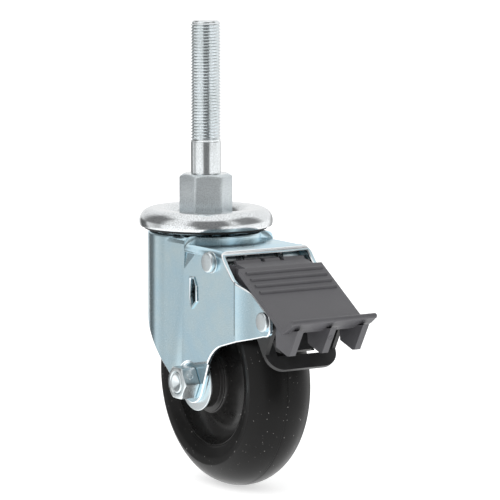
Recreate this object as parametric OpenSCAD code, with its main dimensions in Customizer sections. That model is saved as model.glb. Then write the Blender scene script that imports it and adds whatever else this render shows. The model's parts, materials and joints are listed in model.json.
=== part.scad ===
// Swivel castor with a threaded stem, a pressed steel fork, a solid tyre and a foot brake.
// Z points up along the swivel axis, X towards the brake pedal, Y along the axle.
// The origin is on the swivel axis, on the shoulder that the stem's hexagon bears with.

/* [Stem] */
// Outside diameter of the stem's thread
stem_d = 14.3; // [12:0.1:16]
// How much smaller the plain neck under the thread is
neck_relief = 0.4; // [0.1:0.1:1.5]
// Length of the plain neck
neck_len = 15; // [8:0.5:25]
// Length of the threaded part
thread_len = 55.7; // [30:0.1:90]
// Chamfer at the stem's tip
tip_chamfer = 1.5; // [0.5:0.1:3]
// Width across the flats of the hexagon
hex_af = 21.6; // [20:0.1:26]
// Height of the hexagon above the race cup
hex_show = 15.9; // [8:0.1:25]
// Chamfer round the hexagon's corners
hex_chamfer = 1.4; // [0.5:0.1:2.5]
// Diameter of the kingpin under the hexagon
kingpin_d = 12; // [9:0.1:14]

/* [Swivel bearing] */
// Outer radius of the race cup
cup_r = 31.1; // [29:0.1:34]
// Sheet thickness of the race cup
cup_t = 2.2; // [1.6:0.1:2.6]
// Outer bend radius of the race cup's rim
cup_bend = 6; // [5.5:0.1:7]
// Width of the flat crest between the two bends
cup_crest = 3.6; // [3:0.1:4.5]
// Depth of the well that the hexagon stands in
well_depth = 4; // [3:0.1:5]
// Diameter of the upper balls
ball_d = 7; // [6:0.1:8]
// Number of upper balls
ball_count = 19; // [12:1:19]
// Diameter of the lower balls
low_ball_d = 5; // [4:0.1:6]
// Number of lower balls
low_ball_count = 14; // [10:1:16]
// Radius of the circle that the lower balls run on
low_track_r = 13.5; // [12.5:0.1:14.5]
// Sheet thickness of the lower race
low_race_t = 2.2; // [1.6:0.1:2.6]
// Thickness of the dust seal under the cup's lip
seal_t = 1; // [0.6:0.1:1.4]
// Outer radius of the toothed lock ring
lock_ring_r = 21; // [20.5:0.1:22]
// Thickness of the lock ring
lock_ring_t = 2.2; // [1.6:0.1:2.6]
// Number of notches in the lock ring
notch_count = 12; // [8:4:16]
// Width of a notch
notch_w = 5; // [4:0.1:6]
// Depth of a notch
notch_depth = 2.8; // [2:0.1:3.2]

/* [Fork] */
// Thickness of the fork's sheet
sheet_t = 2.2; // [1.8:0.1:2.6]
// How far the round crown stands in from the race cup
crown_inset = 4.1; // [3.5:0.1:5]
// Height of the crown above the roof
crown_step = 3.6; // [2:0.1:4]
// How far the side walls stand in from the crown
wall_inset = 3; // [2:0.1:3.5]
// Where the slanted front walls meet the side walls
box_x = 20.3; // [18:0.1:23]
// Radius of the long bends between roof and walls
bend_r = 3.4; // [3:0.1:3.8]
// Where the roof ends behind the swivel axis
roof_end = 52; // [50.5:0.1:53]
// Where the wall starts in front of the swivel axis
front_x = 16.5; // [14:0.5:19]
// Half the width over the two lugs that hold the pedal
lug_w = 21.2; // [21:0.1:22]
// Radius of the leg's round end
leg_r = 10; // [9.5:0.1:11.5]
// How far the leg's end is set in
joggle = 0.8; // [0.4:0.1:1.2]

/* [Wheel] */
// Radius of the wheel
wheel_r = 50; // [45:0.5:55]
// Gap between the tyre and the roof
wheel_clear = 12.7; // [11:0.1:16]
// Offset of the axle behind the swivel axis
axle_x = 24.9; // [22:0.1:28]
// Half the width of the tyre
tyre_half = 16; // [14.5:0.1:17]
// Radius of the tread's round section
tread_r = 17.2; // [16.5:0.1:22]
// Radius of the dish's edge in the wheel's side
dish_r = 31.7; // [30:0.1:33]
// Radius of the hub
hub_r = 15; // [14:0.1:17]
// Diameter of the axle bolt
bolt_d = 9.5; // [8:0.1:10.5]
// Wall of the sleeve that the hub turns on
sleeve_wall = 2.1; // [1.5:0.1:2.5]
// Wall of the hub's bushes
bush_wall = 2.2; // [1.5:0.1:3]
// Width across the flats of the axle nut and the bolt head
nut_af = 14.2; // [13:0.1:16]
// Thickness of the axle nut
nut_t = 8; // [6:0.1:9]
// Thickness of the steel discs beside the hub
disc_t = 1.1; // [0.8:0.1:1.3]
// Radius of the steel discs
disc_r = 13.7; // [12:0.1:15]

/* [Brake] */
// Distance from the tread to the pedal's rivet
pivot_gap = 18.7; // [18:0.1:21]
// Angle of the pedal's rivet above the axle
pivot_angle = 30.6; // [28:0.1:33]
// Diameter of the pedal's rivet
rivet_d = 6; // [5:0.1:6.5]
// Diameter of the upper rivet, which the lock lever turns on
upper_d = 4.2; // [3.6:0.1:4.6]
// Wall of the tubes round the upper rivet
upper_wall = 1; // [0.7:0.05:1.05]
// Radius of both rivets' heads
rivet_head_r = 4.5; // [4:0.1:5]
// Where the upper rivet lies behind the swivel axis
upper_x = 44; // [42:0.1:45]
// Depth of the upper rivet under the roof
upper_drop = 5.5; // [5:0.1:6.5]
// Half the width of the pedal's top plate
pad_half = 22; // [20:0.1:26]
// Thickness of the pedal's top plate
pad_t = 2.4; // [1.8:0.1:3]
// Slope of the pedal's top plate
pad_slope = 32; // [29:0.5:34]
// Number of grip ridges on the pedal
ridge_count = 4; // [2:1:5]
// Height of a grip ridge
ridge_h = 0.9; // [0.4:0.1:1.5]
// Half the width over the pedal's side ribs
rib_half = 18.7; // [17.5:0.1:18.7]
// Thickness of the pedal's ribs
rib_t = 3.2; // [2:0.1:3.6]
// Thickness of the brake lever's plate
lever_t = 2; // [1.5:0.1:2.4]
// Slope of the brake lever's plate
lever_slope = 55.5; // [50:0.5:60]
// Half the width of the brake shoe
shoe_half = 9; // [6:0.1:11]
// Angle that the pedal is pressed through
press_angle = 17; // [14:0.5:18]

/* [Fits] */
// Radial gap of a running fit
run_gap = 0.05; // [0.01:0.01:0.09]
// Gap between neighbours that move past each other
side_gap = 0.3; // [0.2:0.05:0.4]

/* [Hidden] */
$fn = 96;

// Widths of the fork
crown_r = cup_r - crown_inset;
half_w = crown_r - wall_inset;

// Heights, from the stem's shoulder down
stem_len = neck_len + thread_len;
cup_top = -hex_show;
well_floor = cup_top - well_depth;
ball_z = cup_top - cup_t - run_gap - ball_d / 2;
track_z = ball_z - ball_d / 2 - run_gap;
crown_z = track_z - 0.7;
roof_z = crown_z - crown_step;
axle_z = roof_z - wheel_clear - wheel_r;
pivot_x = axle_x + (wheel_r + pivot_gap) * cos(pivot_angle);
pivot_z = axle_z + (wheel_r + pivot_gap) * sin(pivot_angle);
upper_z = roof_z - upper_drop;

// Turn of the hexagon about the stem
hex_turn = 5.4;

// Ball tracks
track_r = cup_r - cup_bend - cup_crest / 2;
plateau_z = track_z + 1.6;
plateau_r = track_r - ball_d / 2 - 0.4;
low_ball_z = plateau_z - sheet_t - run_gap - low_ball_d / 2;
low_race_z = low_ball_z - low_ball_d / 2 - run_gap;
lock_ring_z = low_race_z - low_race_t - 3.1;
pin_end_z = lock_ring_z - lock_ring_t;
lip_z = crown_z + side_gap + seal_t;

// Widths along the axle, from the middle outwards
boss_y = half_w - joggle;
leg_in_y = boss_y - sheet_t;
sleeve_half = leg_in_y - disc_t;
guard_half = sleeve_half - side_gap;
sleeve_r = bolt_d / 2 + sleeve_wall;
bush_r = sleeve_r + run_gap + bush_wall;
hub_half = tyre_half - 2;
lug_in_y = lug_w - sheet_t;
rivet_r = rivet_d / 2;
upper_r = upper_d / 2;
tube_r = upper_r + upper_wall;
hub_y = 8.5;
wire = 0.9;
coil_count = 4;

// Fork outline
crease_x = pivot_x - 19.4;
lug_x = pivot_x - 11.5;
front_z = axle_z + 24.5;
hollow_r = 20.8;
skirt_z = roof_z - 6;
slot_x = axle_x + 3;
facet_turn = 6.6;
shoulder = 3.2;
dimple_depth = 0.8;
slot_z = roof_z - 21.6;

// Wheel and pedal
bond_r = dish_r - 1.2;
pad_rear = [pivot_x - 19.7, pivot_z + 21.4];
pad_len = 42.5;
lip_len = 8;
lip_rise = 31;
apron_x = pivot_x - 30;
apron_z = pivot_z + 23.6;
apron_half = 18.1;
step_half = 21.2;
ridge_pitch = 4.5;

// Angle and turning functions
function arc(c, r, a0, a1, n) = [for (i = [0:n]) let (a = a0 + (a1 - a0) * i / n)
    [c[0] + r * cos(a), c[1] + r * sin(a)]];
function tangent_angle(p, c, r, side) = let (d = p - c)
    atan2(d[1], d[0]) + side * acos(r / norm(d));
function at(c, r, a) = [c[0] + r * cos(a), c[1] + r * sin(a)];
function turned(p, c, a) = let (d = p - c)
    [c[0] + d[0] * cos(a) - d[1] * sin(a), c[1] + d[0] * sin(a) + d[1] * cos(a)];

// A shape drawn in X and Z, as thick as the two values of Y are apart
module across(y0, y1) {
    translate([0, y1, 0]) rotate([90, 0, 0]) linear_extrude(y1 - y0) children();
}

// The same shape on both sides of the middle plane
module both_sides() {
    children();
    mirror([0, 1, 0]) children();
}

// A round bar along Y
module cross_bar(x, z, r, y0, y1) {
    translate([x, y1, z]) rotate([90, 0, 0]) cylinder(r = r, h = y1 - y0);
}

// A turned shape about the Y direction, its profile drawn as radius and distance along Y
module turned_y(x, z) {
    translate([x, 0, z]) rotate([-90, 0, 0]) rotate_extrude() children();
}

module hex_bar(af, h) {
    cylinder(d = af / cos(30), h = h, $fn = 6);
}

// The stem, its hexagon and the kingpin are one turned piece, riveted over at the bottom
module threaded_stem() {
    tip_z = stem_len - tip_chamfer;
    neck_r = stem_d / 2 - neck_relief / 2;
    head_r = kingpin_d / 2 + 2;
    corner_r = hex_af / cos(30) / 2;
    color("lightsteelblue") {
        translate([0, 0, neck_len]) cylinder(d = stem_d, h = tip_z - neck_len);
        translate([0, 0, tip_z]) cylinder(r1 = stem_d / 2, r2 = stem_d / 2 - tip_chamfer, h = tip_chamfer);
        translate([0, 0, well_floor]) cylinder(r = neck_r, h = neck_len - well_floor);
        intersection() {
            rotate(hex_turn) translate([0, 0, well_floor]) hex_bar(hex_af, -well_floor);
            rotate_extrude() polygon([[0, well_floor - 1], [corner_r + 1, well_floor - 1],
                [corner_r + 1, -hex_chamfer], [corner_r + 0.2, -hex_chamfer],
                [corner_r - hex_chamfer * 1.6, 0], [0, 0]]);
        }
        translate([0, 0, pin_end_z]) cylinder(d = kingpin_d, h = well_floor - pin_end_z);
        rotate_extrude() polygon(concat([[0, pin_end_z]], [[head_r, pin_end_z]],
            arc([head_r - 1.5, pin_end_z - 0.5], 1.5, 0, -90, 6), [[0, pin_end_z - 2]]));
    }
}

// Outline of the cup's sheet, outer skin when the inset is 0
function cup_skin(inset) = let (r_out = cup_r - cup_bend, r_in = r_out - cup_crest,
        z = cup_top - cup_bend, r = cup_bend - inset)
    concat(arc([r_in, z], r, 180 - asin((well_depth - 2) / cup_bend) + 12, 90, 10),
        arc([r_out, z], r, 90, -14, 14));

module upper_race_cup() {
    outer = cup_skin(0);
    inner = cup_skin(cup_t);
    foot_r = outer[0][0] - 0.6;
    lip_r = cup_r - 2.2;
    hole_r = kingpin_d / 2;
    color("gainsboro") rotate_extrude() polygon(concat(
        [[hole_r, well_floor], [foot_r - 0.6, well_floor]], outer, [[lip_r, lip_z], [lip_r - cup_t, lip_z]],
        [for (i = [len(inner) - 1:-1:0]) inner[i]],
        [[foot_r + 1, well_floor - cup_t], [hole_r, well_floor - cup_t]]));
}

module dust_seal() {
    lip_r = cup_r - 2.2;
    color("dimgray") translate([0, 0, lip_z - seal_t]) difference() {
        cylinder(r = lip_r - 0.2, h = seal_t);
        translate([0, 0, -1]) cylinder(r = lip_r - cup_t - 0.2, h = seal_t + 2);
    }
}

module ball_ring(count, r, z, d) {
    for (i = [0:count - 1]) rotate(i * 360 / count) translate([r, 0, z]) sphere(d = d);
}

module upper_balls() {
    color("silver") ball_ring(ball_count, track_r, ball_z, ball_d);
}

module lower_balls() {
    color("silver") ball_ring(low_ball_count, low_track_r, low_ball_z, low_ball_d);
}

// The lower race is pressed on the kingpin and cradles the lower balls in a groove
module lower_race() {
    hole_r = kingpin_d / 2;
    groove_r = low_ball_d / 2 + run_gap;
    rim_r = low_track_r + groove_r + 1.6;
    top_z = low_race_z + 1.3;
    color("silver") difference() {
        rotate_extrude() polygon([[hole_r, low_race_z - low_race_t], [rim_r - 1, low_race_z - low_race_t],
            [rim_r, low_race_z - low_race_t + 1], [rim_r, top_z], [hole_r, top_z]]);
        rotate_extrude() translate([low_track_r, low_ball_z]) circle(r = groove_r);
    }
}

// The collar and the notched ring sit on the kingpin under the lower race
module lock_ring() {
    hole_r = kingpin_d / 2;
    collar_r = hole_r + 4;
    color("slategray") difference() {
        union() {
            translate([0, 0, pin_end_z]) cylinder(r = lock_ring_r, h = lock_ring_t);
            translate([0, 0, pin_end_z]) cylinder(r = collar_r, h = low_race_z - low_race_t - pin_end_z);
        }
        translate([0, 0, pin_end_z - 1]) cylinder(r = hole_r, h = 20);
        for (i = [0:notch_count - 1]) rotate(i * 360 / notch_count)
            translate([lock_ring_r - notch_depth, -notch_w / 2, pin_end_z - 1])
                cube([notch_depth + 2, notch_w, lock_ring_t + 2]);
    }
}

// Plan outline of the fork, set in by a distance
function plan(inset) = let (w = half_w - inset, lw = lug_w - inset,
        t = at([0, 0], crown_r - inset, tangent_angle([box_x, -half_w], [0, 0], crown_r, -1) + facet_turn))
    [[0, 0], t, [box_x, -w], [crease_x, -w], [lug_x, -lw], [pivot_x + 20, -lw],
        [pivot_x + 20, lw], [lug_x, lw], [crease_x, w], [box_x, w], [t[0], -t[1]]];

// Side outline of the fork in X and Z
function side_outline() = let (axle = [axle_x, axle_z], brow = [4 - front_x, front_z],
        a_front = tangent_angle(brow, axle, leg_r, 1),
        hollow = [axle_x + 33.3, axle_z], knee = at(hollow, hollow_r, 155),
        a_rear = tangent_angle(knee, axle, leg_r, -1))
    concat([[-front_x, crown_z + 2], [-front_x, front_z + 5], [1 - front_x, front_z + 1.6], brow],
        arc(axle, leg_r, a_front, a_rear + 360, 24),
        arc(hollow, hollow_r, 155, 108, 10),
        [[crease_x, pivot_z - 11.5], [pivot_x, pivot_z - 6.8]],
        arc([pivot_x + 0.6, pivot_z - 2.8], 4, -80, 0, 6),
        arc([pivot_x + 1.6, pivot_z + 0.6], 3, 0, 60, 4),
        [[pivot_x - 3.5, pivot_z + 7.2], [pivot_x - 8, pivot_z + 10], [pivot_x - 13, pivot_z + 12.4],
            [crease_x, pivot_z + 14.8], [crease_x - 3, pivot_z + 16.4], [roof_end + 4, roof_z - 5.6],
            [roof_end + 1.4, roof_z - 2.6], [roof_end, roof_z - 1], [roof_end, crown_z + 2]]);

// What the long bend takes off a square edge along X, the edge at the origin
module edge_cut(len) {
    rotate([90, 0, 90]) linear_extrude(len) difference() {
        translate([-1, -bend_r]) square(bend_r + 1);
        translate([bend_r, -bend_r]) circle(r = bend_r);
    }
}

// What the shoulder over a slanted front wall takes off, as three flats
module shoulder_cut(len) {
    r = shoulder;
    rotate([90, 0, 90]) linear_extrude(len) polygon([[-1, 1], [-1, -r], [0, -r], [0.13 * r, -0.5 * r],
        [0.5 * r, -0.13 * r], [r, 0], [r, 1]]);
}

// Sheet of roof and walls before its side outline is trimmed; the slanted front walls rise to the crown
module sheet_box() {
    bottom = axle_z - 20;
    facet = plan(0)[2] - plan(0)[1];
    top_z = crown_z - 0.3;
    difference() {
        union() {
            difference() {
                translate([0, 0, bottom]) linear_extrude(top_z - bottom) polygon(plan(0));
                translate([box_x, -50, roof_z]) cube([60, 100, 20]);
                both_sides() {
                    translate([box_x, -half_w, roof_z]) edge_cut(roof_end - box_x + 8);
                    intersection() {
                        translate([box_x, -half_w, top_z]) rotate(atan2(facet[1], facet[0]))
                            translate([-40, 0, 0]) shoulder_cut(60);
                        translate([-20, -50, roof_z - 5]) cube([box_x + 20, 50, 30]);
                    }
                }
            }
            translate([0, 0, bottom]) cylinder(r = crown_r, h = roof_z - bottom);
        }
        translate([0, 0, bottom - 1]) linear_extrude(roof_z - sheet_t - bottom + 1) union() {
            circle(r = crown_r - sheet_t);
            polygon(plan(sheet_t));
            translate([pivot_x + 10, -50]) square([20, 100]);
        }
        translate([0, 0, roof_z - sheet_t - 1]) cylinder(r = crown_r - 1, h = 20);
    }
}

// Round crown with the ball tracks, drawn as a pressed sheet
module crown() {
    t = sheet_t;
    rim = 1.8;
    hole_r = low_track_r - 4.5;
    groove = ball_d / 2 + run_gap;
    rotate_extrude() polygon(concat(
        [[crown_r, roof_z - t]], arc([crown_r - rim, crown_z - rim], rim, 0, 90, 8),
        [[track_r + 1.8, crown_z]],
        arc([track_r, ball_z], groove, -62, -158, 12),
        [[plateau_r - 1.4, plateau_z], [hole_r, plateau_z], [hole_r, plateau_z - t]],
        [[plateau_r - 1.8, plateau_z - t], [track_r - 4.4, crown_z - t - 0.6],
            [track_r, crown_z - t - 1.1], [crown_r - t - 0.6, crown_z - t - 0.4],
            [crown_r - t, crown_z - t - 1.4], [crown_r - t, roof_z - t]]));
    translate([0, 0, skirt_z]) linear_extrude(crown_z - 2.5 - skirt_z) difference() {
        circle(r = crown_r);
        circle(r = crown_r - t);
        translate([plan(0)[1][0], -50]) square(100);
    }
}

// Lance mark in the side wall
module slot_outline(grow) {
    translate([slot_x, slot_z]) polygon([[-1.6 - grow, 6.6 + grow], [1.6, 7 + grow], [3.2 + grow, 3.6],
        [3.4 + grow, -2.8 - grow / 2], [-0.4, -6.4 - grow], [-1.8 - grow, -2]]);
}

module fork() {
    step_line = [[box_x - 1.6, axle_z + 6.7], [box_x + 19.4, axle_z + 11], [box_x + 19.4, axle_z - 20],
        [box_x - 1.6, axle_z - 20]];
    color("lightsteelblue") difference() {
        union() {
            intersection() {
                sheet_box();
                across(-40, 40) polygon(side_outline());
            }
            crown();
            both_sides() intersection() {
                across(leg_in_y, boss_y) polygon(side_outline());
                translate([-20, 0, axle_z - 20]) cube([60, 40, 29]);
            }
            both_sides() across(-half_w - 0.5, -half_w + 0.5) slot_outline(0.9);
        }
        both_sides() across(boss_y, 40) polygon(step_line);
        both_sides() cross_bar(axle_x, axle_z, nut_af / 2 + 2.2, boss_y, 40);
        both_sides() across(-half_w - 5, -half_w + 1.1) slot_outline(0);
        both_sides() across(-half_w, -half_w + 5) intersection() {
            slot_outline(0);
            translate([slot_x - 20, slot_z - 20]) square([20.6, 40]);
        }
        both_sides() across(-half_w - 5, -half_w + dimple_depth) polygon([[box_x + 0.2, roof_z - 3.2],
            [box_x + 9.4, roof_z - 3.6], [box_x + 0.1, roof_z - 11.2]]);
        cross_bar(axle_x, axle_z, bolt_d / 2 + 0.15, -40, 40);
        cross_bar(upper_x, upper_z, upper_r, -40, 40);
        cross_bar(pivot_x, pivot_z, rivet_r, -40, 40);
    }
}

// Half profile of the upper rivet: a flat round head that stands off its collar
module upper_rivet() {
    end = half_w + 2.7;
    half = [[0, end], [rivet_head_r - 0.5, end], [rivet_head_r, end - 0.5], [rivet_head_r, end - 1.7],
        [upper_r + 1.2, end - 1.9], [upper_r + 1.2, half_w + 0.3], [rivet_head_r + 0.4, half_w + 0.3],
        [rivet_head_r + 0.4, half_w], [upper_r, half_w]];
    color("gainsboro") turned_y(upper_x, upper_z) mirrored_profile([for (i = [len(half) - 1:-1:0]) half[i]]);
}

// Spacer tubes between the springs and the walls, bevelled to clear the inside of the bend
module rivet_spacers() {
    start = hub_y + side_gap + coil_count * wire + 0.1;
    end = half_w - sheet_t;
    bevel = bend_r - sheet_t + 0.2;
    color("silver") both_sides() turned_y(upper_x, upper_z) polygon([[upper_r, start], [tube_r, start],
        [tube_r, end - bevel], [upper_r + 0.1, end], [upper_r, end]]);
}

module lower_rivet() {
    color("gainsboro") turned_y(pivot_x, pivot_z) polygon([[0, -lug_w - 1.8], [rivet_head_r - 0.6, -lug_w - 1.8],
        [rivet_head_r - 0.1, -lug_w - 1.3], [rivet_head_r - 0.1, -lug_w], [rivet_r, -lug_w], [rivet_r, lug_w],
        [rivet_head_r - 0.1, lug_w], [rivet_head_r - 0.1, lug_w + 1.3], [rivet_head_r - 0.6, lug_w + 1.8],
        [0, lug_w + 1.8]]);
}

module axle_bolt() {
    r = bolt_d / 2;
    end_y = boss_y + nut_t;
    head_t = 6;
    color("silver") {
        difference() {
            cross_bar(axle_x, axle_z, r, -end_y - 0.3, boss_y);
            translate([axle_x, -end_y - 0.4, axle_z]) rotate([-90, 0, 0]) cylinder(r1 = r - 0.7, r2 = 0.2, h = 3);
        }
        translate([axle_x, boss_y, axle_z]) rotate([-90, 0, 0]) hex_bar(nut_af, head_t);
    }
}

module axle_nut() {
    r = bolt_d / 2;
    color("gainsboro") difference() {
        translate([axle_x, -boss_y - nut_t, axle_z]) intersection() {
            rotate([-90, 0, 0]) hex_bar(nut_af, nut_t);
            turned_y(0, 0) polygon([[0, 0], [nut_af / 2 - 0.2, 0], [nut_af / 2 + 1.4, 1.2],
                [nut_af / 2 + 1.4, nut_t], [0, nut_t]]);
        }
        cross_bar(axle_x, axle_z, r, -boss_y - nut_t - 1, -boss_y + 1);
    }
}

module side_discs() {
    color("gainsboro") both_sides() difference() {
        cross_bar(axle_x, axle_z, disc_r, sleeve_half, leg_in_y);
        cross_bar(axle_x, axle_z, bolt_d / 2 + 0.05, sleeve_half - 1, leg_in_y + 1);
    }
}

module axle_sleeve() {
    color("silver") difference() {
        cross_bar(axle_x, axle_z, sleeve_r, -sleeve_half, sleeve_half);
        cross_bar(axle_x, axle_z, bolt_d / 2 + 0.05, -sleeve_half - 1, sleeve_half + 1);
    }
}

// Torsion springs on the upper rivet, drawn as touching coils, each with one straight end
module lock_springs() {
    start = hub_y + side_gap;
    mid_r = upper_r + wire / 2 + 0.1;
    color("gray") both_sides() {
        turned_y(upper_x, upper_z) polygon(concat([[mid_r - wire / 2, start]],
            [for (i = [0:coil_count - 1], a = [-75:25:75])
                [mid_r + wire / 2 * cos(a), start + wire * (i + 0.5 + sin(a) / 2)]],
            [[mid_r - wire / 2, start + coil_count * wire]]));
        translate([upper_x, start + 0.1, upper_z + mid_r - wire / 2 + 0.05])
            cube([6, wire * 0.8, wire * 0.8]);
    }
}

// Half profile of the tyre, radius against distance from the middle plane
function tyre_half_section() = let (c = wheel_r - tread_r, a = asin(min(1, tyre_half / tread_r)),
        side = c + tread_r * cos(a) - dish_r)
    concat([[bond_r, 0], [bond_r, hub_half - 1], [dish_r - 0.4, hub_half], [dish_r, hub_half + 0.25],
            [dish_r + side * 0.46, hub_half + 0.25], [dish_r + side * 0.53, tyre_half - 0.5],
            [dish_r + side * 0.68, tyre_half]],
        arc([c, 0], tread_r, a, 0, 24));

module mirrored_profile(half) {
    polygon(concat(half, [for (i = [len(half) - 1:-1:0]) if (half[i][1] > 0) [half[i][0], -half[i][1]]]));
}

module tyre() {
    color([0.13, 0.12, 0.12]) turned_y(axle_x, axle_z) mirrored_profile(tyre_half_section());
}

// The wheel's centre has a deep round dish on each side
module wheel_centre() {
    dish_in = hub_r + 0.6;
    dish_out = bond_r - 0.6;
    mid = (dish_in + dish_out) / 2;
    half = (dish_out - dish_in) / 2;
    depth = 9;
    bowl = [for (i = [0:20]) let (a = 180 - i * 9) [mid + half * cos(a), hub_half - 0.8 - depth * sin(a)]];
    color([0.1, 0.1, 0.1]) turned_y(axle_x, axle_z) mirrored_profile(concat(
        [[bush_r, 0], [bush_r, hub_half], [hub_r - 0.2, hub_half], [dish_in - 0.2, hub_half - 0.5]],
        bowl, [[bond_r - 0.3, hub_half - 1], [bond_r, hub_half - 1], [bond_r, 0]]));
}

module hub_bushes() {
    color("ivory") both_sides() difference() {
        cross_bar(axle_x, axle_z, bush_r, 3, hub_half);
        cross_bar(axle_x, axle_z, sleeve_r + run_gap, 2, hub_half + 1);
    }
}

module thread_guards() {
    color([0.12, 0.12, 0.12]) both_sides() turned_y(axle_x, axle_z) polygon([
        [sleeve_r + run_gap, hub_half], [hub_r - 0.2, hub_half], [hub_r - 0.2, hub_half + 0.6],
        [disc_r - 1, hub_half + 1], [disc_r - 1.4, guard_half - 0.6], [disc_r - 2, guard_half],
        [sleeve_r + run_gap, guard_half]]);
}

// Bell crank whose narrow, pointed finger drops into the lock ring when the pedal is pressed
module lock_lever() {
    tip_x = lock_ring_r - notch_depth + 1.1;
    tip_half = 0.6;
    arm_x = lock_ring_r + 0.8;
    top_z = lock_ring_z + 3;
    low_z = top_z - 2.7;
    arm_half = 7;
    tooth_half = notch_w / 2 - 0.6;
    color("darkgray") difference() {
        union() {
            across(-tooth_half, tooth_half) polygon([[tip_x, low_z], [tip_x, top_z - 0.2], [arm_x + 1, top_z],
                [upper_x - 4, upper_z + 1.6], [upper_x - 4, upper_z - 3], [arm_x + 3, low_z]]);
            across(-arm_half, arm_half) polygon([[upper_x - 7, upper_z - 1], [upper_x - 6, upper_z + 1.6],
                [upper_x, upper_z + 1.6], [upper_x, upper_z - 3], [upper_x - 5, upper_z - 3]]);
            cross_bar(upper_x, upper_z, tube_r, -hub_y, hub_y);
            across(-arm_half, arm_half) polygon([[upper_x, upper_z + 2], [upper_x + 6.3, upper_z - 1.4],
                [upper_x + 6.3, upper_z - 3.6], [upper_x, upper_z - 2.6]]);
        }
        cross_bar(upper_x, upper_z, upper_r + run_gap, -hub_y - 1, hub_y + 1);
        for (side = [-1, 1]) translate([tip_x - 0.5, 0, low_z - 1]) linear_extrude(height = 4.7) polygon([
            [0, side * (tip_half - 0.5)], [tooth_half - tip_half + 1, side * (tooth_half + 0.5)],
            [0, side * (tooth_half + 0.5)]]);
    }
}

// Pedal: frame with its origin on the pivot, u along the slope
function on_pad(u, v) = [pad_rear[0] + u * cos(pad_slope) - v * sin(pad_slope),
    pad_rear[1] - u * sin(pad_slope) - v * cos(pad_slope)];

module pad_section() {
    crease = on_pad(pad_len, 0);
    tip = crease + lip_len * [cos(lip_rise), sin(lip_rise)];
    polygon([pad_rear, crease, tip, tip + [1.3, -0.5], tip + [1.3, -1.4], crease + [4.6, 0.2],
        on_pad(pad_len + 0.8, pad_t), on_pad(0.6, pad_t)]);
}

module rib_section() {
    polygon([on_pad(3, 1), on_pad(pad_len, 1), [pivot_x + 22.6, pivot_z - 1.4], [pivot_x + 24, pivot_z - 1],
        [pivot_x + 16.9, pivot_z - 13.2], [pivot_x + 15.2, pivot_z - 13.4], [pivot_x + 5.5, pivot_z - 10.4],
        [pivot_x + 4.6, pivot_z - 4], [pivot_x - 5, pivot_z - 5.2], [pivot_x - 7, pivot_z - 1],
        [pivot_x - 30, pivot_z + 10.5], [pivot_x - 30, pivot_z + 21.6], [pivot_x - 24, pivot_z + 20]]);
}

module pedal_cover() {
    ear_in = lug_in_y - side_gap - lever_t;
    color([0.35, 0.34, 0.35]) {
        across(-pad_half, pad_half) pad_section();
        for (i = [0:ridge_count - 1]) let (p = on_pad(3.9 + i * ridge_pitch, 0))
            translate([p[0], 0, p[1]]) rotate([0, pad_slope, 0]) intersection() {
                cross_bar(0, ridge_h - 1, 1, -pad_half + 1.9, pad_half - 1.9);
                translate([-2, -pad_half, -0.5]) cube([4, 2 * pad_half, 3]);
            }
        difference() {
            union() {
                both_sides() across(rib_half - rib_t, rib_half) rib_section();
                across(-rib_t / 2, rib_t / 2) rib_section();
                across(-apron_half, apron_half) polygon([[apron_x, pivot_z + 10.5], [apron_x, apron_z],
                    [apron_x + 1.6, apron_z], [apron_x + 2.6, apron_z - 1.2], pad_rear + [0.4, -0.3],
                    on_pad(1.4, pad_t), [apron_x + 3.4, apron_z - 4], [apron_x + 2, pivot_z + 10.5]]);
                across(-step_half, step_half) polygon([[apron_x, pivot_z + 12], [apron_x, apron_z - 1.8],
                    [apron_x + 2, apron_z - 1.8], [apron_x + 2, pivot_z + 12]]);
            }
            for (y = [-5, 5]) translate([apron_x - 1, y, apron_z - 1.2]) cube([4.6, 2, 3]);
            both_sides() across(ear_in - 0.1, rib_half + 5) polygon([[pivot_x - 8, pivot_z - 20],
                [pivot_x + 6, pivot_z - 20], on_pad(31, pad_t - 0.5), on_pad(12, pad_t - 0.5)]);
            cross_bar(pivot_x, pivot_z, rivet_r + run_gap, -50, 50);
        }
    }
}

// Brake lever: a sloping plate with a window, held by an ear on each side
function on_lever(u, v) = [pivot_x + 1.6 - u * cos(lever_slope) - v * sin(lever_slope),
    pivot_z - 22 + u * sin(lever_slope) - v * cos(lever_slope)];

module lever_plate_outline() {
    w = lug_in_y - side_gap - 0.2;
    corner = 8;
    difference() {
        union() {
            translate([corner, -w]) square([24 - corner, 2 * w]);
            translate([0, -w + corner]) square([corner, 2 * (w - corner)]);
            for (s = [-1, 1]) translate([corner, s * (w - corner)]) circle(r = corner);
        }
        translate([6.8, -12.5]) square([2, 25]);
        for (s = [-1, 1]) translate([6.8, s * 9.5 - 3]) square([8, 6]);
    }
}

module brake_lever() {
    w = lug_in_y - side_gap;
    foot = on_lever(0, 0);
    color([0.16, 0.16, 0.17]) difference() {
        union() {
            translate([foot[0], 0, foot[1]]) rotate([0, lever_slope, 0]) mirror([1, 0, 0])
                translate([0, 0, -lever_t]) linear_extrude(lever_t) lever_plate_outline();
            both_sides() across(w - lever_t, w) polygon(concat([on_lever(24, lever_t), on_lever(8, lever_t),
                on_lever(8, 0)], arc([pivot_x, pivot_z], 5, -40, 150, 14)));
        }
        cross_bar(pivot_x, pivot_z, rivet_r + run_gap, -50, 50);
    }
}

// The shoe is drawn pressed on the tread and turned back to rest about the pedal's rivet
module brake_shoe() {
    pivot = [pivot_x, pivot_z];
    axle = [axle_x, axle_z];
    face = [for (i = [0:4]) turned(at(axle, wheel_r + side_gap, pivot_angle - i * 0.8), pivot, press_angle)];
    seat_low = on_lever(8.8, lever_t);
    seat_top = on_lever(19, lever_t);
    color([0.2, 0.2, 0.2]) across(-shoe_half, shoe_half) polygon(concat(face, [seat_low, seat_top,
        face[0] + [-1.1, 7]]));
}

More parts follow.
